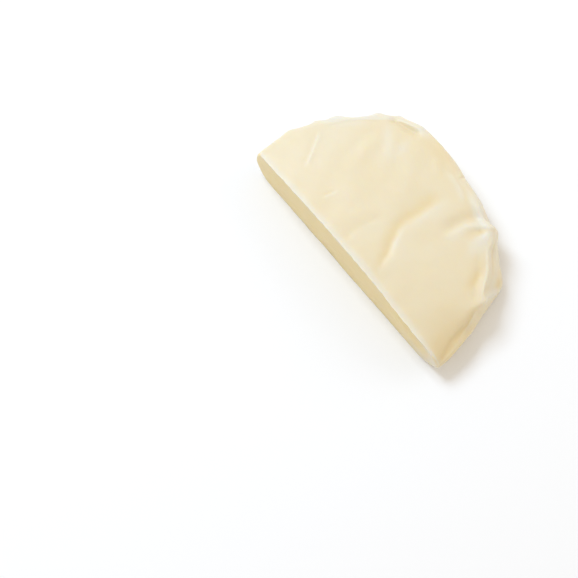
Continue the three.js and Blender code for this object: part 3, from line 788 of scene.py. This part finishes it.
@dataclass(frozen=True)
class CheeseFinish:
    """Pale pressed cheese: a thin, smooth, slightly waxy skin, and a close, moist paste where it is cut.

    Light goes a few millimetres into both, so edges glow and creases stay soft.
    """

    skin: str = "#E4D9BD"
    # the deep and pale colours give the skin's own tints and also painted shade and painted highlight,
    # through the tone
    skin_deep_and_shade: str = "#E2CEA0"
    skin_pale_and_highlight: str = "#E2DCCB"
    paste: str = "#E7D4A0"
    roughness: float = 0.42
    ior: float = 1.45
    glow: float = 0.4  # share of the light that goes into the cheese
    glow_depth: float = 3.0  # how far it spreads there, in millimetres
    glow_radius: tuple[float, float, float] = (1.0, 0.75, 0.35)  # for red, green and blue, as shares of it
    mottle: float = 30.0  # width of the soft clouds in the skin's colour, in millimetres
    mottle_share: float = 0.45
    mottle_detail: float = 3.0
    pore: float = 0.9  # width of the fine grain in millimetres, coarser than the real one so that it shows
    pore_height: float = 0.02
    pore_detail: float = 2.0

    def material(self) -> bpy.types.Material:
        """Builds the node material."""
        material = bpy.data.materials.new("waxy_cheese_skin_and_paste")
        material.use_nodes = True
        tree = material.node_tree
        tree.nodes.clear()
        place = add_node(tree, "ShaderNodeTexCoord").outputs["Object"]
        cut = add_node(tree, "ShaderNodeAttribute", attribute_name="paste").outputs["Fac"]
        cloud = add_node(tree, "ShaderNodeTexNoise", {
            "Vector": place, "Scale": 1.0 / (self.mottle * MILLIMETRE), "Detail": self.mottle_detail})
        # the tone moves the colour towards deep yellow for the skin's own tints and painted shade, and
        # towards pale for pale film and painted highlight
        tone = add_node(tree, "ShaderNodeAttribute", attribute_name="tone").outputs["Fac"]
        deeper = add_node(tree, "ShaderNodeMath", {0: cloud.outputs["Fac"], 1: self.mottle_share, 2: tone},
                          operation="MULTIPLY_ADD")
        paler = add_node(tree, "ShaderNodeMath", {0: tone, 1: -1.0}, operation="MULTIPLY")
        # the waxy mix towards deep yellow also carries painted shade
        waxy = add_node(tree, "ShaderNodeMix", {
            "Factor": deeper.outputs[0], MIX_FIRST: linear(self.skin), MIX_SECOND: linear(self.skin_deep_and_shade)},
            data_type="RGBA")
        body = add_node(tree, "ShaderNodeMix", {
            "Factor": cut, MIX_FIRST: waxy.outputs[MIX_RESULT], MIX_SECOND: linear(self.paste)},
            data_type="RGBA")
        colour = add_node(tree, "ShaderNodeMix", {
            "Factor": paler.outputs[0], MIX_FIRST: body.outputs[MIX_RESULT],
            MIX_SECOND: linear(self.skin_pale_and_highlight)}, data_type="RGBA")
        grain = add_node(tree, "ShaderNodeTexNoise", {
            "Vector": place, "Scale": 1.0 / (self.pore * MILLIMETRE), "Detail": self.pore_detail})
        relief = add_node(tree, "ShaderNodeBump", {"Height": grain.outputs["Fac"], "Strength": 1.0,
                                                   "Distance": self.pore_height * MILLIMETRE})
        shader = add_node(tree, "ShaderNodeBsdfPrincipled", {
            "Base Color": colour.outputs[MIX_RESULT], "Roughness": self.roughness, "IOR": self.ior,
            "Subsurface Weight": self.glow, "Subsurface Radius": self.glow_radius,
            "Subsurface Scale": self.glow_depth * MILLIMETRE, "Normal": relief.outputs["Normal"]})
        add_node(tree, "ShaderNodeOutputMaterial", {"Surface": shader.outputs["BSDF"]})
        return material


@dataclass(frozen=True)
class PaleFloorFinish:
    """Matt white paper board: an even, bright ground without gloss."""

    colour: str = "#F3F3F3"
    roughness: float = 0.9

    def material(self) -> bpy.types.Material:
        """Builds the node material."""
        material = bpy.data.materials.new("matt_white_board")
        material.use_nodes = True
        tree = material.node_tree
        tree.nodes.clear()
        shader = add_node(tree, "ShaderNodeBsdfPrincipled", {"Base Color": linear(self.colour),
                                                             "Roughness": self.roughness})
        add_node(tree, "ShaderNodeOutputMaterial", {"Surface": shader.outputs["BSDF"]})
        return material


@dataclass(frozen=True)
class SoftLight:
    """A square softbox that points at the half wheel from a direction, all lengths in metres."""

    name: str
    direction: tuple[float, float, float]
    side: float
    power: float
    colour: str
    distance: float = 2.0

    def build(self) -> None:
        """Adds the light to the scene."""
        lamp = bpy.data.lights.new(self.name, "AREA")
        lamp.energy = self.power
        lamp.color = linear(self.colour)[:3]
        lamp.size = self.side
        holder = bpy.data.objects.new(self.name, lamp)
        place = Vector(self.direction).normalized() * self.distance
        holder.location = place
        holder.rotation_euler = (-place).to_track_quat("-Z", "Y").to_euler()
        bpy.context.scene.collection.objects.link(holder)
        LOG.info("%s: %.0f W", self.name, self.power)


@dataclass(frozen=True)
class Studio:
    """Pale floor, soft light and the camera at the photograph's viewing angle."""

    floor_finish: PaleFloorFinish = PaleFloorFinish()
    floor_half: float = 3.0  # half a side of the square floor, in metres
    sky: float = 0.74
    sky_colour: str = "#FFF7EC"
    lights: tuple[SoftLight, ...] = (
        SoftLight("key_softbox", (-0.57, -0.1, 0.82), 0.83, 24.7, "#D8EAFF"),
        SoftLight("fill_softbox", (0.36, 0.78, 0.5), 1.33, 5.7, "#FFFFFF"))
    azimuth: float = 51.4
    elevation: float = 69.0
    distance: float = 1.3  # metres from the camera to the aim point
    lens: float = 113.8
    sensor: float = 36.0
    aim: tuple[float, float, float] = (-14.9, -92.3, -7.3)  # in millimetres in the part's frame

    def build_floor(self) -> None:
        """Lays the square floor under the half wheel."""
        corners = self.floor_half * np.array([[-1, -1, 0], [1, -1, 0], [1, 1, 0], [-1, 1, 0]])
        mesh = bpy.data.meshes.new("floor")
        mesh.from_pydata(corners, [], [(0, 1, 2, 3)])
        mesh.materials.append(self.floor_finish.material())
        floor = bpy.data.objects.new("floor", mesh)
        bpy.context.scene.collection.objects.link(floor)

    def build_sky(self) -> None:
        """Sets the even, faintly warm surroundings and the plain view transform."""
        world = bpy.data.worlds.new("white_studio")
        world.use_nodes = True
        background = world.node_tree.nodes["Background"]
        background.inputs["Color"].default_value = linear(self.sky_colour)
        background.inputs["Strength"].default_value = self.sky
        bpy.context.scene.world = world
        bpy.context.scene.view_settings.view_transform = "Standard"

    def build_camera(self) -> None:
        """Places the camera on its line of sight, looking at the aim point."""
        lens = bpy.data.cameras.new("camera")
        lens.lens = self.lens
        lens.sensor_width = self.sensor
        camera = bpy.data.objects.new("camera", lens)
        turn = Euler((math.radians(90.0 - self.elevation), 0.0, math.radians(self.azimuth)))
        back = turn.to_matrix() @ Vector((0.0, 0.0, self.distance))
        camera.rotation_euler = turn
        camera.location = Vector(self.aim) * MILLIMETRE + back
        bpy.context.scene.collection.objects.link(camera)
        bpy.context.scene.camera = camera

    def build(self) -> None:
        """Builds floor, surroundings, lights and camera."""
        self.build_camera()
        self.build_floor()
        self.build_sky()
        for light in self.lights:
            light.build()
        LOG.info("studio: floor, surroundings, %d lights and camera", len(self.lights))


def main() -> None:
    logging.basicConfig(level=logging.INFO, format="%(message)s")
    Studio().build()
    HalfWheel(finish=CheeseFinish()).build()


if __name__ == "__main__":
    main()
